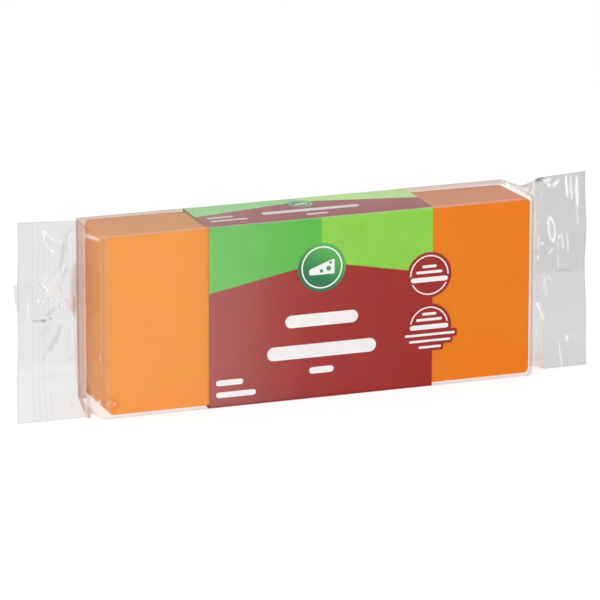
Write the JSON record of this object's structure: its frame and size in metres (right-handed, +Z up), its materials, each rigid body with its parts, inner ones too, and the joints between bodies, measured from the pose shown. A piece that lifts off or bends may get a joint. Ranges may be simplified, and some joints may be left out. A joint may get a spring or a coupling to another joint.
{
  "type": "wrapped cheddar block",
  "caption": "Long orange cheddar block sealed in clear flow-wrap film, with a printed band round its middle and a flat crimped fin at each end.",
  "frame": {"origin": "middle of the flat base that the pack rests on", "axes": "+X along the pack, +Z up, the printed front faces -Y"},
  "size_m": [0.1997, 0.0273, 0.0643],
  "materials": {
    "wrapped_cheddar": "glossy clear film over smooth orange cheese",
    "cheddar": "smooth and slightly moist",
    "clear_film": "clear glossy film",
    "printed_film": "glossy print on film"
  },
  "bodies": {
    "root": {"wrapped_block": "wrapped_cheddar"}
  },
  "joints": []
}
